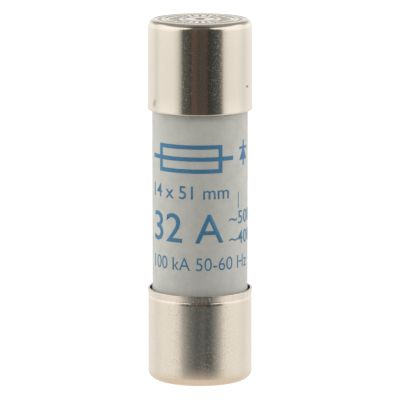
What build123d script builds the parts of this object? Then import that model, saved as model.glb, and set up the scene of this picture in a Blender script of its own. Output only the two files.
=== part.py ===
"""Cartridge fuse of the 14 x 51 size, in millimetres.

+Z runs along the fuse, and the origin is the centre of the lower contact face.
From the outside in, each end is built as: contact cap, inner cap, seal disc, ceramic tube.
Two silver elements run through the quartz sand that fills the tube. Their ends pass out
through slots in the inner caps, lie flat on them and are spot-welded there, out of sight
under the contact caps.
"""

import os

from build123d import *

# Overall sizes
FUSE_LENGTH = 50.2
CAP_DIAMETER = 14.4
TUBE_WALL = 1.8

# Contact caps, drawn from plated sheet
CAP_WALL = 0.3
CAP_FLOOR = 0.4
UPPER_CAP_LENGTH = 12.4
LOWER_CAP_LENGTH = 12.8
UPPER_CAP_CORNER = 0.65  # the coined face has a sharper corner
LOWER_CAP_CORNER = 1.2
TIGHTEST_CORNER = 0.05  # the least radius inside a drawn corner
MOUTH_LIP = 1.2  # the flared stretch at the open end
MOUTH_FLARE = 0.08
MOUTH_ROUNDING = 0.07

# Marks coined into the upper contact face
COIN_DEPTH = 0.1
COIN_RING_RADII = (2.3, 4.9)
COIN_RING_WIDTH = 0.22
COIN_TICKS = 24
COIN_TICK_SIZE = (1.3, 0.3)
COIN_DIMPLE_DIAMETER = 2.0
COIN_DIMPLE_DEPTH = 0.15

# Inner caps, under the contact caps
INNER_WALL = 0.25
INNER_FLOOR = 0.25
INNER_CAP_LENGTH = 9.0
INNER_CORNER = 1.0
CAP_FIT_GAP = 0.03  # between a contact cap and the inner cap it is pressed over
FIT_GAP = 0.02  # between any other pressed piece and what it sits on
TAB_CLEARANCE = 0.12  # between a contact cap's floor and what stands on the inner cap
CORNER_GAP = 0.05  # between an inner cap's corner and the disc and tube inside it

# Seal discs and the plug of the filling hole
DISC_THICKNESS = 0.4
PLUG_DIAMETER = 2.2
PLUG_HEAD_DIAMETER = 2.8
PLUG_HEAD_THICKNESS = 0.2
CUT_THROUGH = 6.0  # height of the cutters that pass through a cap's floor and a disc

# Silver elements
ELEMENT_WIDTH = 4.2
ELEMENT_THICKNESS = 0.15
PLUG_CLEARANCE = 0.225  # between the plug's head and a strip
TAB_LENGTH = 2.2
SLOT_GAP = 0.1
NECK_ROWS = 6
NECK_PITCH = 6.4
NECK_HOLE_DIAMETER = 1.1
NECK_HOLE_SPACING = 1.4
WELD_DIAMETER = 0.8
WELD_HEIGHT = 0.08
WELD_SPACING = 1.8

# Places worked out from those sizes
cap_radius = CAP_DIAMETER / 2
inner_cap_radius = cap_radius - CAP_WALL - CAP_FIT_GAP
tube_radius = inner_cap_radius - INNER_WALL - FIT_GAP
bore_radius = tube_radius - TUBE_WALL
tab_space = max(ELEMENT_THICKNESS + WELD_HEIGHT, PLUG_HEAD_THICKNESS) + TAB_CLEARANCE
inner_cap_start = CAP_FLOOR + tab_space
disc_start = inner_cap_start + INNER_FLOOR
tube_start = disc_start + DISC_THICKNESS
tube_end = FUSE_LENGTH - tube_start
tube_chamfer = INNER_CORNER - INNER_WALL + CORNER_GAP
disc_radius = tube_radius + FIT_GAP - tube_chamfer
element_offset = PLUG_HEAD_DIAMETER / 2 + PLUG_CLEARANCE + ELEMENT_THICKNESS / 2


def at_upper_end(shape):
    """Turns a piece built for the lower end over onto the upper end."""
    return Pos(0, 0, FUSE_LENGTH) * Rot(180, 0, 0) * shape


def drawn_cup(radius, length, wall, floor, corner, flare=0.0, lip=0.0):
    """A drawn cup with its floor at Z 0 and its open end up, flared over the last lip of it."""
    inner_corner = max(corner - wall, TIGHTEST_CORNER)
    with BuildSketch(Plane.XZ) as section:
        with BuildLine():
            base = Line((0, 0), (radius - corner, 0))
            outer_turn = JernArc(base @ 1, (1, 0), corner, 90)
            side = Line(outer_turn @ 1, (radius, length - lip))
            if lip:
                flared = Line(side @ 1, (radius + flare, length))
                rim = Line(flared @ 1, (radius + flare - wall, length))
                back = Line(rim @ 1, (radius - wall, length - lip))
            else:
                back = Line(side @ 1, (radius - wall, length))
            inside = Line(back @ 1, (radius - wall, floor + inner_corner))
            inner_turn = JernArc(inside @ 1, (0, -1), inner_corner, -90)
            top = Line(inner_turn @ 1, (0, floor))
            Line(top @ 1, base @ 0)
        make_face()
        if lip:
            fillet(section.vertices().group_by(Axis.Y)[-1], MOUTH_ROUNDING)
    return revolve(section.sketch, Axis.Z)


def coined_marks():
    """The marks cut into a face at Z 0 from below: two rings, a ring of ticks and a dimple."""
    cut_height = 2 * COIN_DEPTH
    marks = Cylinder(COIN_DIMPLE_DIAMETER / 2, 2 * COIN_DIMPLE_DEPTH)
    for radius in COIN_RING_RADII:
        outer = Cylinder(radius + COIN_RING_WIDTH / 2, cut_height)
        marks += outer - Cylinder(radius - COIN_RING_WIDTH / 2, cut_height)
    tick_radius = sum(COIN_RING_RADII) / 2
    tick = Box(*COIN_TICK_SIZE, cut_height)
    for location in PolarLocations(tick_radius, COIN_TICKS):
        marks += location * tick
    return marks


def contact_cap(length, corner):
    """The outer cap of one end, which a fuse clip grips."""
    return drawn_cup(cap_radius, length, CAP_WALL, CAP_FLOOR, corner, MOUTH_FLARE, MOUTH_LIP)


def element_slots():
    """The two slots that a pair of elements passes through, as tall cutters."""
    size = (ELEMENT_WIDTH + 2 * SLOT_GAP, ELEMENT_THICKNESS + 2 * SLOT_GAP)
    cutter = Box(*size, CUT_THROUGH)
    return Pos(0, element_offset, 0) * cutter + Pos(0, -element_offset, 0) * cutter


def filling_hole():
    """The cutter of the hole that the sand is poured through."""
    return Cylinder(PLUG_DIAMETER / 2 + FIT_GAP, CUT_THROUGH)


def inner_cap(filled_through):
    """The cap pressed over the tube's end, with the elements' slots and maybe the filling hole."""
    length = INNER_CAP_LENGTH + INNER_FLOOR
    cap = drawn_cup(inner_cap_radius, length, INNER_WALL, INNER_FLOOR, INNER_CORNER)
    cap -= element_slots()
    if filled_through:
        cap -= filling_hole()
    return Pos(0, 0, inner_cap_start) * cap


def seal_disc(filled_through):
    """The fibre disc that keeps the sand in, between an inner cap and the tube's end."""
    align = (Align.CENTER, Align.CENTER, Align.MIN)
    disc = Cylinder(disc_radius, DISC_THICKNESS, align=align) - element_slots()
    if filled_through:
        disc -= filling_hole()
    return Pos(0, 0, disc_start) * disc


def fill_plug():
    """The headed plug of the filling hole, drawn at the lower end with its head outward."""
    align = (Align.CENTER, Align.CENTER, Align.MIN)
    head = Cylinder(PLUG_HEAD_DIAMETER / 2, PLUG_HEAD_THICKNESS, align=align)
    shank = Cylinder(PLUG_DIAMETER / 2, INNER_FLOOR + DISC_THICKNESS, align=align)
    head = Pos(0, 0, inner_cap_start - PLUG_HEAD_THICKNESS) * head
    return head + Pos(0, 0, inner_cap_start) * shank


def ceramic_tube():
    """The insulating tube, with its outer end edges chamfered to clear the inner caps."""
    length = tube_end - tube_start
    align = (Align.CENTER, Align.CENTER, Align.MIN)
    body = Cylinder(tube_radius, length, align=align)
    body = chamfer(body.edges().filter_by(GeomType.CIRCLE), tube_chamfer)
    return Pos(0, 0, tube_start) * (body - Cylinder(bore_radius, length, align=align))


def fuse_element():
    """One silver strip with rows of necks and its two end tabs, on the -Y side."""
    run = FUSE_LENGTH - 2 * inner_cap_start
    middle = FUSE_LENGTH / 2
    strip = Pos(0, -element_offset, middle) * Box(ELEMENT_WIDTH, ELEMENT_THICKNESS, run)
    hole = Rot(90, 0, 0) * Cylinder(NECK_HOLE_DIAMETER / 2, 4 * ELEMENT_THICKNESS)
    # Each row has holes across the strip and one half hole at each edge.
    columns = (-ELEMENT_WIDTH / 2, -NECK_HOLE_SPACING / 2, NECK_HOLE_SPACING / 2, ELEMENT_WIDTH / 2)
    for row in range(NECK_ROWS):
        height = middle + (row - (NECK_ROWS - 1) / 2) * NECK_PITCH
        for column in columns:
            strip -= Pos(column, -element_offset, height) * hole
    inner_edge = element_offset - ELEMENT_THICKNESS / 2
    align = (Align.CENTER, Align.MAX, Align.MAX)
    tab = Box(ELEMENT_WIDTH, TAB_LENGTH, ELEMENT_THICKNESS, align=align)
    lower_tab = Pos(0, -inner_edge, inner_cap_start) * tab
    upper_tab = Pos(0, -inner_edge, FUSE_LENGTH - inner_cap_start + ELEMENT_THICKNESS) * tab
    return strip + lower_tab + upper_tab


def quartz_sand(elements):
    """The packed sand, which fills the bore around the elements."""
    align = (Align.CENTER, Align.CENTER, Align.MIN)
    fill = Cylinder(bore_radius - FIT_GAP, tube_end - tube_start, align=align)
    fill = Pos(0, 0, tube_start) * fill
    for element in elements:
        fill -= element
    return fill


def spot_welds():
    """The weld nuggets on the tabs of the lower end, two on each tab."""
    tab_middle = element_offset + TAB_LENGTH / 2
    align = (Align.CENTER, Align.CENTER, Align.MAX)
    nugget = Cylinder(WELD_DIAMETER / 2, WELD_HEIGHT, align=align)
    height = inner_cap_start - ELEMENT_THICKNESS
    places = [
        Pos(x, y, height)
        for x in (-WELD_SPACING / 2, WELD_SPACING / 2)
        for y in (-tab_middle, tab_middle)
    ]
    return Compound([place * nugget for place in places])


front_element = fuse_element()
rear_element = Rot(0, 0, 180) * front_element
upper_cap = at_upper_end(contact_cap(UPPER_CAP_LENGTH, UPPER_CAP_CORNER) - coined_marks())

pieces = {
    "ceramic_tube": ceramic_tube(),
    "upper_contact_cap": upper_cap,
    "lower_contact_cap": contact_cap(LOWER_CAP_LENGTH, LOWER_CAP_CORNER),
    "upper_inner_cap": at_upper_end(inner_cap(True)),
    "lower_inner_cap": inner_cap(False),
    "upper_seal_disc": at_upper_end(seal_disc(True)),
    "lower_seal_disc": seal_disc(False),
    "filling_plug": at_upper_end(fill_plug()),
    "front_fuse_element": front_element,
    "rear_fuse_element": rear_element,
    "quartz_sand": quartz_sand([front_element, rear_element]),
    "upper_spot_welds": at_upper_end(spot_welds()),
    "lower_spot_welds": spot_welds(),
}

os.makedirs("parts", exist_ok=True)
for name, shape in pieces.items():
    export_step(shape, f"parts/{name}.step")
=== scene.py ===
"""Looks of the 14 x 51 cartridge fuse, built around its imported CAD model.

Lengths are written in millimetres and turned into metres by MM. Angles around the fuse are in
degrees from the front, which faces -Y, and grow towards +X.
"""

import math

import bmesh
import bpy
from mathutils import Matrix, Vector, noise


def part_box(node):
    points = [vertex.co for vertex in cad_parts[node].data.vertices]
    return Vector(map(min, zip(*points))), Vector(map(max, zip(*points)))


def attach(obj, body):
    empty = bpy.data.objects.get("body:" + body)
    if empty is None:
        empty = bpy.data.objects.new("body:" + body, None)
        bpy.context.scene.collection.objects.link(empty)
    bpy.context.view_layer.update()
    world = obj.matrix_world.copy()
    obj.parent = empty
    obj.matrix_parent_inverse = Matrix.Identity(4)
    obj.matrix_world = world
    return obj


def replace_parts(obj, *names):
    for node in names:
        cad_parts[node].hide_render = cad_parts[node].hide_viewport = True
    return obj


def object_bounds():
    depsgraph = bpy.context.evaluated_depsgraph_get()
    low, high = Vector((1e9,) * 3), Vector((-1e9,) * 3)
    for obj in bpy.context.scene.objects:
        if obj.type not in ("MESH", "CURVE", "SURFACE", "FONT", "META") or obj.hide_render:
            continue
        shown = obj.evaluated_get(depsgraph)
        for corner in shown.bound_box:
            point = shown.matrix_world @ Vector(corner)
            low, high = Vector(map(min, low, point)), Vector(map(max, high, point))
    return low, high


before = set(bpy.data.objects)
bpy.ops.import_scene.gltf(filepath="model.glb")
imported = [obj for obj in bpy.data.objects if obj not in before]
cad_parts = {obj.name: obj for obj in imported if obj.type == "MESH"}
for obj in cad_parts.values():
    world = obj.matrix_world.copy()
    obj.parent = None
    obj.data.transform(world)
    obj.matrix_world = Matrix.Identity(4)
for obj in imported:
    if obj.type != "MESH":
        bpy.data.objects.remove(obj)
cad_low, cad_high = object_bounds()

MM = 0.001

# Camera
CAMERA_ELEVATION = 9.75
CAMERA_DISTANCE = 530.0 * MM
CAMERA_LENS = 344.8
CAMERA_SENSOR = 36.0
CAMERA_CLIP = (0.01, 20.0)  # nearest and farthest distance that it sees, in metres
CAMERA_AIM = -0.11 * MM  # height of the point it looks at, from the fuse's middle

# Contact caps, whose wall, floor and flare are those of their CAD nodes
CAP_WALL = 0.3 * MM
CAP_FLOOR = 0.4 * MM
UPPER_CORNER = (0.65 * MM, 1.0 * MM)  # how far in and how far down the corner reaches
LOWER_CORNER = (1.2 * MM, 1.2 * MM)
INSIDE_CORNER = 0.4 * MM
MOUTH_FLARE = 0.08 * MM
UPPER_LIP = 2.6 * MM  # the upper cap opens slowly, in a curve
LOWER_LIP = 1.0 * MM
RIM_OUTSIDE = 0.13 * MM  # rounding of the rim's outer edge
RIM_INSIDE = 0.07 * MM
NECK_DEPTH = 0.058 * MM  # the lower cap is pinched in where its lip begins
NECK_HEIGHT = 0.14 * MM  # over which it is pinched
SHOULDER_DEPTH = 0.03 * MM  # the upper cap draws in slightly towards its face
SHOULDER_LENGTH = 3.2 * MM
CAP_WAVE = 0.004 * MM  # how far the drawn walls wander from round
CAP_WAVE_LENGTH = 4.0 * MM

# Marks coined into the upper face
COIN_DEPTH = 0.1 * MM
COIN_RING_RADII = (2.3 * MM, 4.9 * MM)
COIN_RING_WIDTH = 0.22 * MM
COIN_TICKS = 24
COIN_TICK_LENGTH = 1.3 * MM
COIN_TICK_WIDTH = 0.3 * MM
COIN_EDGE = 0.18 * MM  # how far the sides of a mark slope
OUTER_TICKS = 72
OUTER_TICK_RADIUS = 5.6 * MM
OUTER_TICK_LENGTH = 0.6 * MM
OUTER_TICK_WIDTH = 0.2 * MM
OUTER_TICK_DEPTH = 0.04 * MM
EDGE_GROOVE_RADIUS = 6.4 * MM
EDGE_GROOVE_WIDTH = 0.12 * MM
EDGE_GROOVE_DEPTH = 0.08 * MM
COIN_DIMPLE_RADIUS = 1.1 * MM
COIN_DIMPLE_DEPTH = 0.15 * MM
COIN_DIMPLE_SIDE = 0.8 * MM  # how far the dimple's side slopes

# Ceramic tube
TUBE_BORE = 9.6 * MM
TUBE_CHAMFER = 0.8 * MM
TUBE_WAVE = 0.006 * MM
TUBE_WAVE_LENGTH = 3.0 * MM

# Print on the tube
INK_SUNK = 0.012 * MM  # how far the ink reaches below the tube's surface
INK_PROUD = 0.016 * MM  # and how far it stands above it
INK_STEP = 0.25 * MM  # widest flat facet of the wrapped ink
INK_JOIN = 1e-4 * MM  # points of an outline that are nearer become one
INK_CUT = 1e-5 * MM  # how near to a cut a point counts as on it
LETTER_CURVE_STEPS = 6
FONT_CAP_HEIGHT = 0.729  # of a capital in the built-in font, as a share of the size

# Fineness of the turned meshes
SEGMENTS = 288
FINE_STEP = 0.08 * MM
WALL_STEP = 0.3 * MM
INSIDE_STEP = 1.2 * MM
ARC_STEPS = 10
RIM_OUTSIDE_STEPS = 6
RIM_INSIDE_STEPS = 5
SHARP_ANGLE = 40.0  # an edge that bends more is shaded sharp, in degrees
TINY = 1e-9  # two lengths that differ by less are the same
ROUNDING = 1e-6  # a share of a step too small to be worth a point of its own


# ---------------------------------------------------------------- camera, floor and light


def make_camera():
    """The camera, looking slightly down at the middle of the fuse."""
    elevation = math.radians(CAMERA_ELEVATION)
    middle = (cad_low + cad_high) / 2
    target = Vector((0, 0, middle.z + CAMERA_AIM))
    back = Vector((0, -math.cos(elevation), math.sin(elevation)))
    camera = bpy.data.objects.new("camera", bpy.data.cameras.new("camera"))
    camera.data.sensor_width = CAMERA_SENSOR
    camera.data.lens = CAMERA_LENS
    camera.data.clip_start, camera.data.clip_end = CAMERA_CLIP
    camera.location = target + back * CAMERA_DISTANCE
    camera.rotation_mode = "QUATERNION"
    camera.rotation_quaternion = (-back).to_track_quat("-Z", "Y")
    bpy.context.scene.collection.objects.link(camera)
    bpy.context.scene.camera = camera


def finished_object(name, bm):
    """Turns a bmesh into a linked object."""
    mesh = bpy.data.meshes.new(name)
    bm.to_mesh(mesh)
    bm.free()
    thing = bpy.data.objects.new(name, mesh)
    bpy.context.scene.collection.objects.link(thing)
    return thing


def disc_mesh(name, radius, height, rings, segments):
    """A flat round sheet of quads and one fan, facing up."""
    bm = bmesh.new()
    centre = bm.verts.new((0, 0, height))
    previous = None
    for ring in range(1, rings + 1):
        r = radius * ring / rings
        turn = [2 * math.pi * i / segments for i in range(segments)]
        verts = [bm.verts.new((r * math.cos(a), r * math.sin(a), height)) for a in turn]
        for i in range(segments):
            j = (i + 1) % segments
            if previous:
                bm.faces.new((previous[i], verts[i], verts[j], previous[j]))
            else:
                bm.faces.new((centre, verts[i], verts[j]))
        previous = verts
    return finished_object(name, bm)


# ---------------------------------------------------------------- node helpers


class Nodes:
    """Short calls for building a node tree."""

    def __init__(self, tree):
        self.tree = tree
        tree.nodes.clear()

    def add(self, kind, **settings):
        node = self.tree.nodes.new(kind)
        for key, value in settings.items():
            setattr(node, key, value)
        return node

    def feed(self, socket, value):
        if isinstance(value, bpy.types.NodeSocket):
            self.tree.links.new(value, socket)
        else:
            socket.default_value = value

    def millimetres(self, stretch=(1, 1, 1)):
        """The surface's place in the fuse's frame, in millimetres, scaled by stretch."""
        place = self.add("ShaderNodeTexCoord")
        mapping = self.add("ShaderNodeMapping")
        mapping.inputs["Scale"].default_value = [s / MM for s in stretch]
        self.feed(mapping.inputs["Vector"], place.outputs["Object"])
        return mapping.outputs["Vector"]

    def noise(self, vector, scale, detail, rough=0.5):
        node = self.add("ShaderNodeTexNoise")
        self.feed(node.inputs["Vector"], vector)
        node.inputs["Scale"].default_value = scale
        node.inputs["Detail"].default_value = detail
        node.inputs["Roughness"].default_value = rough
        return node.outputs["Fac"]

    def cells(self, vector, scale, output="Distance"):
        node = self.add("ShaderNodeTexVoronoi")
        self.feed(node.inputs["Vector"], vector)
        node.inputs["Scale"].default_value = scale
        return node.outputs[output]

    def math(self, operation, a, b=0.0):
        node = self.add("ShaderNodeMath", operation=operation)
        self.feed(node.inputs[0], a)
        self.feed(node.inputs[1], b)
        return node.outputs[0]

    def spread(self, value, low, high, to_low, to_high, smooth=False):
        """Maps low..high to to_low..to_high, held at both ends."""
        node = self.add("ShaderNodeMapRange", clamp=True)
        if smooth:
            node.interpolation_type = "SMOOTHSTEP"
        self.feed(node.inputs["Value"], value)
        node.inputs["From Min"].default_value = low
        node.inputs["From Max"].default_value = high
        node.inputs["To Min"].default_value = to_low
        node.inputs["To Max"].default_value = to_high
        return node.outputs["Result"]

    def mix(self, factor, a, b, blend="MIX"):
        """Blends two colours, which are the node's sockets 6 and 7."""
        node = self.add("ShaderNodeMix", data_type="RGBA", blend_type=blend)
        self.feed(node.inputs[0], factor)
        self.feed(node.inputs[6], a)
        self.feed(node.inputs[7], b)
        return node.outputs[2]

    def bump(self, height, distance, normal=None):
        """Bends the normal by a height from 0 to 1 that stands for distance in metres."""
        node = self.add("ShaderNodeBump")
        node.inputs["Distance"].default_value = distance
        self.feed(node.inputs["Height"], height)
        if normal is not None:
            self.feed(node.inputs["Normal"], normal)
        return node.outputs["Normal"]


def rgba(colour):
    """A colour of three numbers with full alpha."""
    return (*colour, 1.0)


def new_material(name):
    """A material with one Principled shader, its node helper and the shader."""
    material = bpy.data.materials.new(name)
    material.use_nodes = True
    nodes = Nodes(material.node_tree)
    shader = nodes.add("ShaderNodeBsdfPrincipled")
    out = nodes.add("ShaderNodeOutputMaterial")
    nodes.feed(out.inputs["Surface"], shader.outputs[0])
    return material, nodes, shader


# ---------------------------------------------------------------- the studio

# What the caps reflect: azimuth from the front in degrees, then a colour.
# High is seen from the upper cap and low, softer, from the lower one.
STUDIO_HIGH = (
    (-180, (0.93, 0.94, 0.94)),
    (-128, (1.00, 1.00, 0.99)),
    (-112, (0.86, 0.86, 0.86)),
    (-98, (1.00, 1.00, 0.99)),
    (-62, (0.97, 0.97, 0.96)),
    (-51, (0.80, 0.79, 0.77)),
    (-44, (0.50, 0.48, 0.45)),
    (-38, (0.12, 0.12, 0.11)),
    (-20, (0.05, 0.055, 0.05)),
    (-18, (0.12, 0.08, 0.066)),
    (-8, (0.12, 0.08, 0.065)),
    (-5, (0.07, 0.065, 0.055)),
    (5, (0.09, 0.07, 0.062)),
    (15, (0.09, 0.068, 0.06)),
    (18, (0.036, 0.04, 0.038)),
    (30, (0.056, 0.062, 0.06)),
    (42, (0.10, 0.11, 0.107)),
    (48, (0.22, 0.22, 0.21)),
    (55, (0.80, 0.78, 0.75)),
    (66, (0.96, 0.96, 0.95)),
    (92, (1.00, 1.00, 1.00)),
    (112, (0.88, 0.88, 0.88)),
    (135, (1.00, 1.01, 1.01)),
    (180, (0.93, 0.94, 0.94)),
)
STUDIO_LOW = (
    (-180, (0.93, 0.94, 0.94)),
    (-128, (0.99, 0.99, 0.98)),
    (-112, (0.91, 0.90, 0.88)),
    (-90, (1.00, 0.99, 0.97)),
    (-62, (1.00, 0.98, 0.95)),
    (-48, (0.88, 0.85, 0.81)),
    (-36, (0.46, 0.45, 0.43)),
    (-22, (0.22, 0.235, 0.235)),
    (-8, (0.115, 0.132, 0.137)),
    (0, (0.12, 0.137, 0.142)),
    (8, (0.155, 0.172, 0.176)),
    (15, (0.092, 0.107, 0.112)),
    (24, (0.135, 0.15, 0.155)),
    (34, (0.31, 0.315, 0.31)),
    (42, (0.54, 0.52, 0.50)),
    (52, (0.87, 0.84, 0.80)),
    (64, (1.00, 0.98, 0.95)),
    (95, (1.00, 0.99, 0.97)),
    (112, (0.91, 0.90, 0.88)),
    (135, (0.99, 0.99, 0.98)),
    (180, (0.93, 0.94, 0.94)),
)
STUDIO_SPLIT = (-11.0, -9.5)  # elevations between which low turns into high
CLOSING = (16.0, 40.0, 1.0, 2.1)  # elevations over which the dark front narrows, and by how much
HAZE = (22.0, 38.0)  # elevations over which the dark front pales to grey
HAZE_GREY = (0.13, 0.13, 0.12)
PANEL_RISE = (-8.0, 0.0, 0.97, 1.15)  # the panels grow brighter upwards: elevations and strengths
PANEL_TOP = (1.0, 25.0, 1.0, 1.12)  # and brighter again above that
SHADE_RISE = (7.0, 27.0)  # elevations over which the rear of the studio grows dim
SHADE_TURN = (45.0, 72.0)  # azimuths from the back over which that dimness ends
SHADE = (0.42, 0.40, 0.37)
CEILING_GAP = (34.0, 50.0)  # elevations over which the panels end below the dark ceiling
CEILING = (0.10, 0.095, 0.085)
CEILING_SIDES = (0.34, 0.32, 0.29)
CEILING_TURN = (25.0, 80.0)  # azimuths from the front over which it pales
CEILING_DIP = (25.0, 60.0, 14.0, 0.0)  # it hangs lower behind: azimuths from the back, dips
WALL_TURN = (20.0, 45.0, 0.84, 1.0)  # the wall behind is dimmer: azimuths from the back, strengths
WALL_FOOT = (0.0, 5.0)  # elevations over which that wall begins
REAR_GAP = (8.0, 18.0)  # azimuths from the back over which a dark rear strip fades
REAR_GAP_TOP = (-14.0, -11.0)  # elevations over which that strip ends upwards
REAR_STRIP = (0.16, 0.16, 0.155)
TABLE_EDGE = (-44.0, -33.0)  # elevations between which the pale table ends
TABLE = (0.88, 0.82, 0.72)
BACKDROP = (1.0, 1.0, 1.0)


def azimuth_ramp(nodes, turn, stops):
    """A colour ramp over a share of a full turn, from stops in degrees."""
    ramp = nodes.add("ShaderNodeValToRGB")
    nodes.feed(ramp.inputs["Fac"], turn)
    elements = ramp.color_ramp.elements
    while len(elements) < len(stops):
        elements.new(0.5)
    for element, (azimuth, colour) in zip(elements, stops):
        element.position = (azimuth + 180) / 360
        element.color = rgba(colour)
    return ramp.outputs["Color"]


def make_studio():
    """A soft studio painted by direction: bright panels round a dark front, and a white backdrop."""
    world = bpy.data.worlds.new("studio")
    world.use_nodes = True
    bpy.context.scene.world = world
    nodes = Nodes(world.node_tree)
    direction = nodes.add("ShaderNodeTexCoord").outputs["Generated"]
    split = nodes.add("ShaderNodeSeparateXYZ")
    nodes.feed(split.inputs[0], direction)
    x, y, z = split.outputs
    azimuth = nodes.math("ARCTAN2", x, nodes.math("MULTIPLY", y, -1.0))
    azimuth = nodes.math("MULTIPLY", azimuth, 180 / math.pi)
    elevation = nodes.math("MULTIPLY", nodes.math("ARCSINE", z), 180 / math.pi)
    widened = nodes.math("MULTIPLY", azimuth, nodes.spread(elevation, *CLOSING, smooth=True))
    turn = nodes.spread(widened, -180, 180, 0, 1)

    high = azimuth_ramp(nodes, turn, STUDIO_HIGH)
    low = azimuth_ramp(nodes, turn, STUDIO_LOW)
    colour = nodes.mix(nodes.spread(elevation, *STUDIO_SPLIT, 0, 1), low, high)

    haze = nodes.spread(elevation, *HAZE, 0, 1, smooth=True)
    colour = nodes.mix(haze, colour, rgba(HAZE_GREY), "LIGHTEN")

    from_back = nodes.math("SUBTRACT", 180.0, nodes.math("ABSOLUTE", azimuth))
    wall = nodes.spread(elevation, *WALL_FOOT, 0, 1, smooth=True)
    wall = nodes.mix(wall, rgba((1, 1, 1)), nodes.spread(from_back, *WALL_TURN))
    colour = nodes.mix(1.0, colour, wall, "MULTIPLY")
    colour = nodes.mix(1.0, colour, nodes.spread(elevation, *PANEL_RISE), "MULTIPLY")
    colour = nodes.mix(1.0, colour, nodes.spread(elevation, *PANEL_TOP), "MULTIPLY")
    shade = nodes.math(
        "MULTIPLY",
        nodes.spread(from_back, *SHADE_TURN, 1, 0, smooth=True),
        nodes.spread(elevation, *SHADE_RISE, 0, 1, smooth=True),
    )
    colour = nodes.mix(shade, colour, nodes.mix(1.0, colour, rgba(SHADE), "MULTIPLY"))
    strip = nodes.math(
        "MULTIPLY",
        nodes.spread(from_back, *REAR_GAP, 1, 0, smooth=True),
        nodes.spread(elevation, *REAR_GAP_TOP, 1, 0, smooth=True),
    )
    colour = nodes.mix(strip, colour, rgba(REAR_STRIP))
    dipped = nodes.math("ADD", elevation, nodes.spread(from_back, *CEILING_DIP))
    ceiling = nodes.spread(dipped, *CEILING_GAP, 0, 1, smooth=True)
    beside = nodes.spread(nodes.math("ABSOLUTE", azimuth), *CEILING_TURN, 0, 1, smooth=True)
    colour = nodes.mix(ceiling, colour, nodes.mix(beside, rgba(CEILING), rgba(CEILING_SIDES)))
    table = nodes.spread(elevation, *TABLE_EDGE, 1, 0, smooth=True)
    colour = nodes.mix(table, colour, rgba(TABLE))

    seen = nodes.add("ShaderNodeLightPath").outputs["Is Camera Ray"]
    colour = nodes.mix(seen, colour, rgba(BACKDROP))
    background = nodes.add("ShaderNodeBackground")
    nodes.feed(background.inputs["Color"], colour)
    out = nodes.add("ShaderNodeOutputWorld")
    nodes.feed(out.inputs["Surface"], background.outputs[0])


FLOOR_RADIUS = 1.5  # in metres
FLOOR_DROP = 0.01 * MM  # keeps the floor just clear of the lower face
FLOOR_ALBEDO = 0.55
FLOOR_MOTTLE = 0.98  # how much of that albedo its darker patches have
FLOOR_PATCHES = 0.05  # scale of the patches, for each millimetre
FLOOR_ROUGHNESS = 0.9
FLOOR_GLOW = 0.80  # strength of its own light


def make_floor():
    """The plain pale floor, which neither shows in reflections nor lights the fuse."""
    floor = disc_mesh("floor", FLOOR_RADIUS, -FLOOR_DROP, rings=6, segments=64)
    material, nodes, shader = new_material("pale_floor")
    patches = nodes.noise(nodes.millimetres(), FLOOR_PATCHES, 3)
    tone = nodes.mix(patches, rgba([FLOOR_ALBEDO * FLOOR_MOTTLE] * 3), rgba([FLOOR_ALBEDO] * 3))
    nodes.feed(shader.inputs["Base Color"], tone)
    shader.inputs["Roughness"].default_value = FLOOR_ROUGHNESS
    shader.inputs["Specular IOR Level"].default_value = 0.0
    shader.inputs["Emission Color"].default_value = rgba((1, 1, 1))
    shader.inputs["Emission Strength"].default_value = FLOOR_GLOW
    floor.data.materials.append(material)
    floor.visible_glossy = False
    floor.visible_diffuse = False


# Soft lamps, which the painted panels stand for in reflections: turn from the front and
# elevation in degrees, then power in watts
LAMPS = (
    ("left_light", -100.0, 0.0, 1.8),
    ("right_light", 100.0, 0.0, 1.65),
    ("top_light", 0.0, 58.0, 1.3),
)
LAMP_DISTANCE = 0.6  # in metres, as is the size
LAMP_SIZE = 0.25


def make_lamps():
    """The soft lamps on both sides and above."""
    middle = (cad_low + cad_high) / 2
    for name, turn, elevation, power in LAMPS:
        lamp = bpy.data.lights.new(name, "AREA")
        lamp.size = LAMP_SIZE
        lamp.energy = power
        level = math.cos(math.radians(elevation))
        out = Vector((
            math.sin(math.radians(turn)) * level,
            -math.cos(math.radians(turn)) * level,
            math.sin(math.radians(elevation)),
        ))
        holder = bpy.data.objects.new(name, lamp)
        holder.location = middle + out * LAMP_DISTANCE
        holder.rotation_mode = "QUATERNION"
        holder.rotation_quaternion = (-out).to_track_quat("-Z", "Y")
        holder.visible_glossy = False
        bpy.context.scene.collection.objects.link(holder)


CARD_RADIUS = 22 * MM
CARD_MIDDLE = (0, 5, 0)  # added to a place in millimetres, for a middle in front of the fuse
CARD_FADE = (1.0, 16.5)  # distances in millimetres from there over which the card fades out
CARD_COLOUR = (0.82, 0.725, 0.61)


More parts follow.
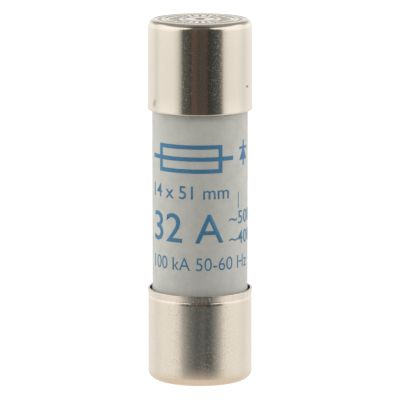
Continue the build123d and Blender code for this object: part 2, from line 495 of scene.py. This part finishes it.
def make_table_card():
    """A small warm card under the fuse, seen only in reflections, mostly the lower cap's."""
    card = disc_mesh("table_card", CARD_RADIUS, -FLOOR_DROP / 2, rings=4, segments=64)
    material = bpy.data.materials.new("table_card")
    material.use_nodes = True
    nodes = Nodes(material.node_tree)
    moved = nodes.add("ShaderNodeVectorMath", operation="ADD")
    nodes.feed(moved.inputs[0], nodes.millimetres())
    moved.inputs[1].default_value = CARD_MIDDLE
    length = nodes.add("ShaderNodeVectorMath", operation="LENGTH")
    nodes.feed(length.inputs[0], moved.outputs["Vector"])
    fade = nodes.spread(length.outputs["Value"], *CARD_FADE, 0, 1, smooth=True)
    glow = nodes.add("ShaderNodeEmission")
    glow.inputs["Color"].default_value = rgba(CARD_COLOUR)
    clear = nodes.add("ShaderNodeBsdfTransparent")
    blend = nodes.add("ShaderNodeMixShader")
    nodes.feed(blend.inputs[0], fade)
    nodes.feed(blend.inputs[1], glow.outputs[0])
    nodes.feed(blend.inputs[2], clear.outputs[0])
    out = nodes.add("ShaderNodeOutputMaterial")
    nodes.feed(out.inputs["Surface"], blend.outputs[0])
    card.data.materials.append(material)
    card.visible_camera = False
    card.visible_diffuse = False
    card.visible_shadow = False


# ---------------------------------------------------------------- materials


# Noise scales are for each millimetre.

# Nickel plate
NICKEL = (0.80, 0.735, 0.645)
STAINED_NICKEL = (0.775, 0.70, 0.60)
# colour of the painted shade of the dents
DENT_SHADE_TONE = (0.16, 0.125, 0.10)
PLATE_GRAIN = 6.0
PLATE_STREAKS = 6.0
PLATE_STAINS = 0.35
DRAWN_LONG = (1, 1, 0.05)  # stretches the streaks along the fuse
STREAK_SHARE = 0.03  # how far a streak shifts the pits either way
PITTED = (0.51, 0.73)  # grain values between which the plate turns from smooth to rough
UPPER_ROUGHNESS = (0.05, 0.40)
UPPER_RELIEF = (0.0016 * MM, 0.002 * MM)  # depth of the pits and of the streaks
LOWER_ROUGHNESS = (0.10, 0.72)
LOWER_RELIEF = (0.0008 * MM, 0.001 * MM)

# Painted shade of two small dents on the upper cap, dark patches in its colour, in millimetres
# and degrees: turn from the front, height, half length, half width, tilt and how dark they are
DENT_SHADE_RADIUS = 7.2
DENT_SHADE_FADE = (0.2, 1.1)  # shares of its half size over which a patch of painted dent shade fades
DENT_SHADE_HALF_DEPTH = 1.0
DENT_SHADES = (
    (-60.0, 39.05, 0.9, 0.55, 54.0, 0.4),
    (64.0, 41.3, 0.42, 0.24, 0.0, 0.9),
)

# Ceramic
CERAMIC_LIGHT = (0.59, 0.595, 0.558)
CERAMIC_DARK = (0.527, 0.532, 0.50)
CERAMIC_PORE = (0.44, 0.445, 0.42)
CERAMIC_SPECK = (0.16, 0.13, 0.11)
CERAMIC_MOTTLE = 0.55
CERAMIC_PORES = 4.0
CERAMIC_SPECKS = 0.55
SPECK_SIZES = 0.9
MOTTLED = (0.35, 0.68)  # noise values between which the light tone turns dark
PORED = (0.45, 0.75)
PORE_SHARE = 0.4
SPECK_SHARE = 0.55
SPECK_REACH = (0.5, 0.75, 0.0, 0.10)  # noise values, then how far a speck reaches in its cell
PORE_DEPTH = 0.012 * MM
CERAMIC_ROUGHNESS = (0.5, 0.68)
CERAMIC_SPECULAR = 0.35

# Ink
INK_DARK = (0.050, 0.182, 0.33)
INK_LIGHT = (0.078, 0.24, 0.395)
INK_PATCHES = 3.5
INK_RELIEF = 0.004 * MM
INK_ROUGHNESS = (0.45, 0.6)
INK_SPECULAR = 0.3

# Metals inside: name, light and dark tone, roughness, stretch and depth of the lines, and the
# scale of the tarnish
METAL_LINES = 6.0
DRAWN_BRASS = (
    "drawn_brass", (0.78, 0.60, 0.31), (0.62, 0.44, 0.20), (0.22, 0.42), (1, 1, 0.1), 0.006 * MM, 0.6,
)
ROLLED_SILVER = (
    "rolled_silver", (0.93, 0.91, 0.87), (0.80, 0.76, 0.69), (0.14, 0.32), (1, 1, 0.06), 0.003 * MM, 0.8,
)
WELD_SILVER = (
    "weld_silver", (0.84, 0.82, 0.78), (0.50, 0.45, 0.38), (0.30, 0.60), (1, 1, 1), 0.02 * MM, 3.0,
)

# Fibre and sand
FIBRE_DARK = (0.42, 0.36, 0.27)
FIBRE_LIGHT = (0.62, 0.55, 0.43)
STRAND_SQUEEZE = 3.5  # how much narrower than long a strand is
STRANDS_ALONG = 2.2
STRANDS_ACROSS = 2.6
STRAND_DEPTH = 0.05 * MM
FIBRE_ROUGHNESS = (0.95, 0.8)
QUARTZ_DULL = (0.72, 0.66, 0.54)
QUARTZ_CLEAR = (0.88, 0.85, 0.78)
QUARTZ_GRAINS = 3.2
QUARTZ_DEPTH = 0.12 * MM
QUARTZ_ROUGHNESS = (0.25, 0.8)


def dent_shade_mask(nodes, place, turn, height, half_length, half_width, tilt, darkness):
    """How dark one soft oval patch of painted dent shade makes the side of a cap."""
    angle = math.radians(turn)
    local = nodes.add("ShaderNodeMapping", vector_type="TEXTURE")
    nodes.feed(local.inputs["Vector"], place)
    middle = (DENT_SHADE_RADIUS * math.sin(angle), -DENT_SHADE_RADIUS * math.cos(angle), height)
    local.inputs["Location"].default_value = middle
    local.inputs["Rotation"].default_value = (0, -math.radians(tilt), angle)
    local.inputs["Scale"].default_value = (half_length, DENT_SHADE_HALF_DEPTH, half_width)
    distance = nodes.add("ShaderNodeVectorMath", operation="LENGTH")
    nodes.feed(distance.inputs[0], local.outputs["Vector"])
    return nodes.spread(distance.outputs["Value"], *DENT_SHADE_FADE, darkness, 0, smooth=True)


def nickel_plate(name, roughness, grain_depth, streak_depth, dent_shades=()):
    """Bright nickel over drawn alloy: fine pits, drawing streaks, faint stains and patches of painted
    shade where it is dented.
    """
    material, nodes, shader = new_material(name)
    place = nodes.millimetres()
    grain = nodes.noise(place, PLATE_GRAIN, 3, 0.65)
    streaks = nodes.noise(nodes.millimetres(DRAWN_LONG), PLATE_STREAKS, 3, 0.65)
    stains = nodes.noise(place, PLATE_STAINS, 3, 0.6)
    tone = nodes.mix(stains, rgba(NICKEL), rgba(STAINED_NICKEL))
    # dark patches painted into the colour, standing in for the shade of dents
    for dent_shade in dent_shades:
        tone = nodes.mix(dent_shade_mask(nodes, place, *dent_shade), tone, rgba(DENT_SHADE_TONE))
    nodes.feed(shader.inputs["Base Color"], tone)
    shader.inputs["Metallic"].default_value = 1.0
    pits = nodes.math("ADD", grain, nodes.spread(streaks, 0.3, 0.7, -STREAK_SHARE, STREAK_SHARE))
    nodes.feed(shader.inputs["Roughness"], nodes.spread(pits, *PITTED, *roughness))
    normal = nodes.bump(streaks, streak_depth)
    nodes.feed(shader.inputs["Normal"], nodes.bump(grain, grain_depth, normal))
    return material


def fired_ceramic():
    """Grey-white fired ceramic with a soft mottle, fine pores and a few dark specks."""
    material, nodes, shader = new_material("fired_ceramic")
    place = nodes.millimetres()
    mottle = nodes.noise(place, CERAMIC_MOTTLE, 4, 0.6)
    tone = nodes.mix(nodes.spread(mottle, *MOTTLED, 0, 1), rgba(CERAMIC_LIGHT), rgba(CERAMIC_DARK))
    pores = nodes.noise(place, CERAMIC_PORES, 3, 0.6)
    tone = nodes.mix(nodes.spread(pores, *PORED, 0, PORE_SHARE), tone, rgba(CERAMIC_PORE))
    speck_reach = nodes.spread(nodes.noise(place, SPECK_SIZES, 1), *SPECK_REACH)
    speck = nodes.math("LESS_THAN", nodes.cells(place, CERAMIC_SPECKS), speck_reach)
    tone = nodes.mix(nodes.math("MULTIPLY", speck, SPECK_SHARE), tone, rgba(CERAMIC_SPECK))
    nodes.feed(shader.inputs["Base Color"], tone)
    nodes.feed(shader.inputs["Roughness"], nodes.spread(pores, 0.3, 0.7, *CERAMIC_ROUGHNESS))
    shader.inputs["Specular IOR Level"].default_value = CERAMIC_SPECULAR
    nodes.feed(shader.inputs["Normal"], nodes.bump(pores, PORE_DEPTH))
    return material


def printing_ink():
    """Blue pad-printing ink, slightly uneven in tone and surface."""
    material, nodes, shader = new_material("blue_ink")
    place = nodes.millimetres()
    patches = nodes.spread(nodes.noise(place, INK_PATCHES, 3, 0.6), 0.35, 0.7, 0, 1)
    tone = nodes.mix(patches, rgba(INK_DARK), rgba(INK_LIGHT))
    nodes.feed(shader.inputs["Base Color"], tone)
    nodes.feed(shader.inputs["Roughness"], nodes.spread(patches, 0, 1, *INK_ROUGHNESS))
    shader.inputs["Specular IOR Level"].default_value = INK_SPECULAR
    nodes.feed(shader.inputs["Normal"], nodes.bump(patches, INK_RELIEF))
    return material


def worked_metal(name, light, dark, roughness, stretch, line_depth, tarnish_scale):
    """A metal with fine lines, drawn out by stretch, and soft tarnish."""
    material, nodes, shader = new_material(name)
    lines = nodes.noise(nodes.millimetres(stretch), METAL_LINES, 3, 0.6)
    tarnish = nodes.noise(nodes.millimetres(), tarnish_scale, 4, 0.6)
    tone = nodes.mix(nodes.spread(tarnish, 0.38, 0.68, 0, 1), rgba(light), rgba(dark))
    nodes.feed(shader.inputs["Base Color"], tone)
    shader.inputs["Metallic"].default_value = 1.0
    nodes.feed(shader.inputs["Roughness"], nodes.spread(lines, 0.3, 0.7, *roughness))
    nodes.feed(shader.inputs["Normal"], nodes.bump(lines, line_depth))
    return material


def pressed_fibre():
    """Pressed fibre board with matted strands."""
    material, nodes, shader = new_material("pressed_fibre")
    along = nodes.noise(nodes.millimetres((1, STRAND_SQUEEZE, 1)), STRANDS_ALONG, 5, 0.7)
    across = nodes.noise(nodes.millimetres((STRAND_SQUEEZE, 1, 1)), STRANDS_ACROSS, 5, 0.7)
    matted = nodes.math("MAXIMUM", along, across)
    tone = nodes.mix(nodes.spread(matted, 0.4, 0.75, 0, 1), rgba(FIBRE_DARK), rgba(FIBRE_LIGHT))
    nodes.feed(shader.inputs["Base Color"], tone)
    nodes.feed(shader.inputs["Roughness"], nodes.spread(matted, 0.3, 0.8, *FIBRE_ROUGHNESS))
    nodes.feed(shader.inputs["Normal"], nodes.bump(matted, STRAND_DEPTH))
    return material


def quartz_grains():
    """Packed quartz sand: grains of different tones, some clear and glinting."""
    material, nodes, shader = new_material("quartz_grains")
    place = nodes.millimetres()
    grain_tone = nodes.cells(place, QUARTZ_GRAINS, output="Color")
    grain_height = nodes.cells(place, QUARTZ_GRAINS)
    grey = nodes.add("ShaderNodeRGBToBW")
    nodes.feed(grey.inputs[0], grain_tone)
    tone = nodes.mix(grey.outputs[0], rgba(QUARTZ_DULL), rgba(QUARTZ_CLEAR))
    nodes.feed(shader.inputs["Base Color"], tone)
    nodes.feed(shader.inputs["Roughness"], nodes.spread(grey.outputs[0], 0.2, 0.9, *QUARTZ_ROUGHNESS))
    raised = nodes.spread(grain_height, 0.0, 0.6, 1, 0)
    nodes.feed(shader.inputs["Normal"], nodes.bump(raised, QUARTZ_DEPTH))
    return material


# ---------------------------------------------------------------- turned pieces


def straight(start, end, step):
    """Evenly spaced points from start up to, but without, end."""
    count = max(1, math.ceil(math.dist(start, end) / step - ROUNDING))
    return [
        (start[0] + (end[0] - start[0]) * i / count, start[1] + (end[1] - start[1]) * i / count)
        for i in range(count)
    ]


def arc(centre, radius, first, last, count=ARC_STEPS, height=None):
    """Points from the first angle up to, but without, the last, in degrees.

    They lie on a circle, or on an ellipse where height, its upright half axis, is given.
    """
    upright = radius if height is None else height
    angles = [math.radians(first + (last - first) * i / count) for i in range(count)]
    return [(centre[0] + radius * math.cos(a), centre[1] + upright * math.sin(a)) for a in angles]


def lathe(name, profile, shift):
    """A closed smooth mesh turned about Z from points of radius and height.

    Shift takes a point's radius, height and angle and gives its final radius and height.
    """
    bm = bmesh.new()
    rings = []
    for radius, height in profile:
        if radius < TINY:
            rings.append([bm.verts.new((0, 0, height))])
            continue
        ring = []
        for step in range(SEGMENTS):
            angle = 2 * math.pi * step / SEGMENTS
            r, z = shift(radius, height, angle)
            ring.append(bm.verts.new((r * math.sin(angle), -r * math.cos(angle), z)))
        rings.append(ring)
    pairs = list(zip(rings, rings[1:]))
    if len(rings[0]) > 1:
        pairs.append((rings[-1], rings[0]))
    for near, far in pairs:
        for i in range(SEGMENTS):
            j = (i + 1) % SEGMENTS
            if len(near) == 1:
                bm.faces.new((near[0], far[j], far[i]))
            elif len(far) == 1:
                bm.faces.new((near[i], near[j], far[0]))
            else:
                bm.faces.new((near[i], near[j], far[j], far[i]))
    bmesh.ops.recalc_face_normals(bm, faces=bm.faces)
    piece = finished_object(name, bm)
    piece.data.shade_smooth()
    piece.data.set_sharp_from_angle(angle=math.radians(SHARP_ANGLE))
    return piece


def curved_lip(radius, length):
    """The outside of a lip that opens slowly, as points of radius and height."""
    start = length - UPPER_LIP
    rim = length - RIM_OUTSIDE
    heights = [height for _, height in straight((0, start), (0, rim), WALL_STEP / 2)]
    return [(radius + MOUTH_FLARE * ((z - start) / (rim - start)) ** 2, z) for z in heights]


def pinched_lip(radius, length):
    """The outside of a lip that is pinched in where it begins and then opens straight."""
    start = length - LOWER_LIP
    neck = (radius - NECK_DEPTH, start)
    rim = (radius + MOUTH_FLARE, length - RIM_OUTSIDE)
    step = straight((radius, start - NECK_HEIGHT), neck, NECK_HEIGHT / 5)
    return step + straight(neck, rim, WALL_STEP / 2)


def cap_profile(radius, length, corner, shoulder, lip):
    """The section of a cap, from the middle of its contact face round to the middle of its floor.

    Heights run from the contact face to the open mouth. The wall draws in by shoulder towards
    the face, and lip is the list of points of the lip's outside.
    """
    reach, drop = corner
    inner = radius - CAP_WALL
    inside = INSIDE_CORNER
    mouth = radius + MOUTH_FLARE
    flat = radius - shoulder - reach
    lip_start = lip[0][1]
    points = straight((0, 0), (flat, 0), FINE_STEP)
    points += arc((flat, drop), reach, -90, 0, 2 * ARC_STEPS, drop)
    for _, height in straight((0, drop), (0, lip_start), WALL_STEP):
        far = max(1 - (height - drop) / SHOULDER_LENGTH, 0)
        points.append((radius - shoulder * far * far, height))
    points += lip
    outer_turn = (mouth - RIM_OUTSIDE, length - RIM_OUTSIDE)
    inner_turn = (mouth - CAP_WALL + RIM_INSIDE, length - RIM_INSIDE)
    points += arc(outer_turn, RIM_OUTSIDE, 0, 90, RIM_OUTSIDE_STEPS)
    points += arc(inner_turn, RIM_INSIDE, 90, 180, RIM_INSIDE_STEPS)
    points += straight((mouth - CAP_WALL, length - RIM_INSIDE), (inner, lip_start), WALL_STEP)
    points += straight((inner, lip_start), (inner, CAP_FLOOR + inside), INSIDE_STEP)
    points += arc((inner - inside, CAP_FLOOR + inside), inside, 0, -90)
    points += straight((inner - inside, CAP_FLOOR), (0, CAP_FLOOR), INSIDE_STEP)
    points.append((0, CAP_FLOOR))
    return points


def smooth_step(value):
    """0 below 0, 1 above 1 and a smooth rise between."""
    t = min(max(value, 0.0), 1.0)
    return t * t * (3 - 2 * t)


def plateau(distance, half_width):
    """1 within a mark and 0 outside it, with sloping sides."""
    return 1 - smooth_step((abs(distance) - half_width) / COIN_EDGE + 0.5)


def coined_depth(radius, angle):
    """How deep the marks of the upper face are at a place."""
    depth = max(plateau(radius - ring, COIN_RING_WIDTH / 2) for ring in COIN_RING_RADII) * COIN_DEPTH
    pitch = 2 * math.pi / COIN_TICKS
    aside = (angle + pitch / 2) % pitch - pitch / 2
    tick = plateau(radius * math.sin(aside), COIN_TICK_WIDTH / 2)
    tick *= plateau(radius - sum(COIN_RING_RADII) / 2, COIN_TICK_LENGTH / 2)
    pitch = 2 * math.pi / OUTER_TICKS
    aside = angle % pitch - pitch / 2
    outer = plateau(radius * math.sin(aside), OUTER_TICK_WIDTH / 2)
    outer *= plateau(radius - OUTER_TICK_RADIUS, OUTER_TICK_LENGTH / 2)
    groove = plateau(radius - EDGE_GROOVE_RADIUS, EDGE_GROOVE_WIDTH / 2)
    dimple = smooth_step((COIN_DIMPLE_RADIUS - radius) / COIN_DIMPLE_SIDE)
    marks = (
        tick * COIN_DEPTH,
        outer * OUTER_TICK_DEPTH,
        groove * EDGE_GROOVE_DEPTH,
        dimple * COIN_DIMPLE_DEPTH,
    )
    return max(depth, *marks)


def wave(radius, height, angle, length, size):
    """A smooth wander of the surface, the same every run."""
    place = Vector((radius * math.sin(angle), radius * math.cos(angle), height)) / length
    return noise.noise(place) * size


def widest_radius(low, high):
    """The largest radius that stays inside a node's box on all four sides."""
    return min(high.x, high.y, -low.x, -low.y)


def make_upper_cap():
    """The upper contact cap, with its coined face."""
    low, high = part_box("upper_contact_cap")
    radius = widest_radius(low, high) - MOUTH_FLARE
    top = high.z
    length = top - low.z
    lip = curved_lip(radius, length)
    profile = cap_profile(radius, length, UPPER_CORNER, SHOULDER_DEPTH, lip)
    profile = [(r, top - height) for r, height in profile]

    def shift(r, z, angle):
        if top - z < TINY and r < radius - SHOULDER_DEPTH - UPPER_CORNER[0]:
            return r, z - coined_depth(r, angle)
        if r < radius - CAP_WALL / 2:
            return r, z
        return r + min(wave(r, z, angle, CAP_WAVE_LENGTH, CAP_WAVE), 0), z

    cap = lathe("upper_cap_plated", profile, shift)
    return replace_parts(cap, "upper_contact_cap")


def make_lower_cap():
    """The lower contact cap, pinched in where its lip begins."""
    low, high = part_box("lower_contact_cap")
    radius = widest_radius(low, high) - MOUTH_FLARE
    length = high.z - low.z
    profile = cap_profile(radius, length, LOWER_CORNER, 0, pinched_lip(radius, length))

    def shift(r, z, angle):
        if r < radius - CAP_WALL / 2:
            return r, z
        return r + min(wave(r, z, angle, CAP_WAVE_LENGTH, CAP_WAVE), 0), z

    cap = lathe("lower_cap_plated", profile, shift)
    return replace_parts(cap, "lower_contact_cap")


def make_tube(tube_radius):
    """The ceramic tube, very slightly uneven as fired."""
    low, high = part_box("ceramic_tube")
    bore = TUBE_BORE / 2
    start = (bore, low.z)
    edge_low = (tube_radius - TUBE_CHAMFER, low.z)
    side_low = (tube_radius, low.z + TUBE_CHAMFER)
    side_high = (tube_radius, high.z - TUBE_CHAMFER)
    edge_high = (tube_radius - TUBE_CHAMFER, high.z)
    inside = (bore, high.z)
    corners = [start, edge_low, side_low, side_high, edge_high, inside, start]
    profile = []
    for near, far in zip(corners, corners[1:]):
        profile += straight(near, far, 2 * WALL_STEP)

    def shift(r, z, angle):
        if r < tube_radius - TINY:
            return r, z
        return r + min(wave(r, z, angle, TUBE_WAVE_LENGTH, TUBE_WAVE), 0), z

    tube = lathe("ceramic_body", profile, shift)
    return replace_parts(tube, "ceramic_tube")


# ---------------------------------------------------------------- print


def flat_mesh(curve):
    """The filled flat mesh of a curve or text."""
    holder = bpy.data.objects.new(curve.name, curve)
    bpy.context.scene.collection.objects.link(holder)
    bpy.context.view_layer.update()
    ready = holder.evaluated_get(bpy.context.evaluated_depsgraph_get())
    mesh = bpy.data.meshes.new_from_object(ready)
    bpy.data.objects.remove(holder)
    return mesh


def filled_loops(name, loops):
    """A flat mesh filled between closed loops of points."""
    curve = bpy.data.curves.new(name, "CURVE")
    curve.dimensions = "2D"
    curve.fill_mode = "BOTH"
    for loop in loops:
        spline = curve.splines.new("POLY")
        spline.points.add(len(loop) - 1)
        for point, (x, y) in zip(spline.points, loop):
            point.co = (x, y, 0, 1)
        spline.use_cyclic_u = True
    return flat_mesh(curve)


def lettering(name, words, width, cap_height, weight):
    """A flat mesh of generic lettering, from the origin, with its width and cap height in metres."""
    size = cap_height / FONT_CAP_HEIGHT / MM
    text = bpy.data.curves.new(name, "FONT")
    text.body = words
    text.size = size
    text.offset = weight * size
    text.resolution_u = LETTER_CURVE_STEPS
    mesh = flat_mesh(text)
    left = min(v.co.x for v in mesh.vertices)
    right = max(v.co.x for v in mesh.vertices)
    for v in mesh.vertices:
        v.co.x = (v.co.x - left) * width / (right - left)
        v.co.y *= MM
    return mesh


def wrap_print(name, mesh, start, height, tube_radius):
    """Bends a flat mesh round the tube and gives it the ink's thickness."""
    bm = bmesh.new()
    bm.from_mesh(mesh)
    bmesh.ops.remove_doubles(bm, verts=bm.verts, dist=INK_JOIN)
    bmesh.ops.dissolve_degenerate(bm, edges=bm.edges, dist=INK_JOIN)
    left = min(v.co.x for v in bm.verts)
    right = max(v.co.x for v in bm.verts)
    for i in range(1, math.ceil((right - left) / INK_STEP)):
        everything = bm.verts[:] + bm.edges[:] + bm.faces[:]
        place = (left + i * INK_STEP, 0, 0)
        bmesh.ops.bisect_plane(bm, geom=everything, dist=INK_CUT, plane_co=place, plane_no=(1, 0, 0))
    raised = bmesh.ops.extrude_face_region(bm, geom=bm.faces[:], use_keep_orig=True)
    for v in raised["geom"]:
        if isinstance(v, bmesh.types.BMVert):
            v.co.z = INK_PROUD + INK_SUNK
    bmesh.ops.recalc_face_normals(bm, faces=bm.faces)
    for v in bm.verts:
        angle = math.radians(start) + v.co.x / tube_radius
        radius = tube_radius - INK_SUNK + v.co.z
        v.co = (radius * math.sin(angle), -radius * math.cos(angle), height + v.co.y)
    return finished_object(name, bm)


def box_loop(left, bottom, right, top):
    """A closed loop round a plain rectangle."""
    return [(left, bottom), (right, bottom), (right, top), (left, top)]


SYMBOL_TURN = -71.3
SYMBOL_BASE = 29.75 * MM
SYMBOL_LENGTH = 9.6 * MM
SYMBOL_HEIGHT = 3.9 * MM
SYMBOL_STROKE = 0.58 * MM
SYMBOL_LEAD = 1.8 * MM  # each end of the wire that passes through the symbol's box
SMALL_CAPS = 1.9 * MM
DIVIDER_WIDTH = 0.15 * MM
DIVIDER_HEIGHT = 2.2 * MM
DIVIDER_TURN = 52.0
DIVIDER_BASE = 24.6 * MM
DIODE_TURN = 55.0
DIODE_BASE = 30.4 * MM

# The diode symbol, in millimetres: the sides of its triangle and bar, the sides of its lead, the
# sides of the triangle's blunt tip, and the levels of the triangle's base, the bar's two edges
# and the upper end
DIODE_SIDES = (-0.05, 2.1)
DIODE_LEAD = (0.85, 1.2)
DIODE_TIP = (0.8, 1.25)
DIODE_LEVELS = (0.8, 2.3, 2.65, 3.5)

# Generic lettering: name, words, first angle, baseline, width, cap height, added weight
LETTERING = (
    ("print_size", "14 x 51 mm", -70.0, 26.18 * MM, 12.3 * MM, SMALL_CAPS, 0.004),
    ("print_current", "32 A", -69.0, 20.1 * MM, 11.3 * MM, 4.2 * MM, 0.003),
    ("print_upper_voltage", "~500 V", 37.5, 22.4 * MM, 8.2 * MM, SMALL_CAPS, 0.004),
    ("print_lower_voltage", "~400 V", 37.5, 19.6 * MM, 8.2 * MM, SMALL_CAPS, 0.004),
    ("print_capacity", "100 kA 50-60 Hz", -69.5, 16.23 * MM, 16.4 * MM, SMALL_CAPS, -0.004),
)


def make_fuse_symbol(tube_radius):
    """The standard fuse symbol, a box with a wire through it."""
    t = SYMBOL_STROKE
    left = SYMBOL_LEAD
    right = left + SYMBOL_LENGTH
    end = right + SYMBOL_LEAD
    top = SYMBOL_HEIGHT
    wire_low = (top - t) / 2
    wire_high = wire_low + t
    symbol = [
        (left, 0), (right, 0), (right, wire_low), (end, wire_low), (end, wire_high), (right, wire_high),
        (right, top), (left, top), (left, wire_high), (0, wire_high), (0, wire_low), (left, wire_low),
    ]
    lower_window = box_loop(left + t, t, right - t, wire_low)
    upper_window = box_loop(left + t, wire_high, right - t, top - t)
    mesh = filled_loops("symbol", [symbol, lower_window, upper_window])
    return wrap_print("print_fuse_symbol", mesh, SYMBOL_TURN, SYMBOL_BASE, tube_radius)


def make_diode_symbol(tube_radius):
    """A plain diode symbol, for a fuse that protects semiconductors, drawn upright."""
    left, right = DIODE_SIDES
    lead_left, lead_right = DIODE_LEAD
    tip_left, tip_right = DIODE_TIP
    base, bar_low, bar_high, end = DIODE_LEVELS
    outline = [
        (lead_left, 0), (lead_right, 0), (lead_right, base), (right, base), (tip_right, bar_low),
        (right, bar_low), (right, bar_high), (lead_right, bar_high), (lead_right, end),
        (lead_left, end), (lead_left, bar_high), (left, bar_high), (left, bar_low),
        (tip_left, bar_low), (left, base), (lead_left, base),
    ]
    mesh = filled_loops("diode", [[(x * MM, y * MM) for x, y in outline]])
    return wrap_print("print_diode_symbol", mesh, DIODE_TURN, DIODE_BASE, tube_radius)


def make_print(tube_radius):
    """Every printed mark, as its own thin piece of ink."""
    pieces = [make_fuse_symbol(tube_radius)]
    for name, words, start, baseline, wide, caps, weight in LETTERING:
        mesh = lettering(name, words, wide, caps, weight)
        pieces.append(wrap_print(name, mesh, start, baseline, tube_radius))
    line = filled_loops("divider", [box_loop(0, 0, DIVIDER_WIDTH, DIVIDER_HEIGHT)])
    pieces.append(wrap_print("print_divider", line, DIVIDER_TURN, DIVIDER_BASE, tube_radius))
    pieces.append(make_diode_symbol(tube_radius))
    return pieces


# ---------------------------------------------------------------- putting it together


def assign(piece, material):
    """Gives a piece its one material."""
    if piece.material_slots:
        for slot in piece.material_slots:
            slot.material = material
    else:
        piece.data.materials.append(material)


def dress_inner_pieces():
    """Materials for the CAD nodes inside the caps and the tube."""
    brass = worked_metal(*DRAWN_BRASS)
    silver = worked_metal(*ROLLED_SILVER)
    weld = worked_metal(*WELD_SILVER)
    fibre = pressed_fibre()
    sand = quartz_grains()
    dressed = {
        "upper_inner_cap": brass,
        "lower_inner_cap": brass,
        "filling_plug": brass,
        "upper_seal_disc": fibre,
        "lower_seal_disc": fibre,
        "front_fuse_element": silver,
        "rear_fuse_element": silver,
        "upper_spot_welds": weld,
        "lower_spot_welds": weld,
        "quartz_sand": sand,
    }
    for node, material in dressed.items():
        assign(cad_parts[node], material)


def main():
    """Builds everything that stands in the scene."""
    bpy.context.scene.view_settings.view_transform = "Standard"
    make_camera()
    make_studio()
    make_floor()
    make_table_card()
    make_lamps()

    tube_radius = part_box("ceramic_tube")[1].x
    upper_cap = make_upper_cap()
    lower_cap = make_lower_cap()
    tube = make_tube(tube_radius)
    upper_nickel = nickel_plate("upper_nickel", UPPER_ROUGHNESS, *UPPER_RELIEF, DENT_SHADES)
    lower_nickel = nickel_plate("lower_nickel", LOWER_ROUGHNESS, *LOWER_RELIEF)
    assign(upper_cap, upper_nickel)
    assign(lower_cap, lower_nickel)
    assign(tube, fired_ceramic())

    ink = printing_ink()
    marks = make_print(tube_radius)
    for mark in marks:
        assign(mark, ink)
    for piece in [upper_cap, lower_cap, tube, *marks]:
        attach(piece, "root")
    dress_inner_pieces()


main()
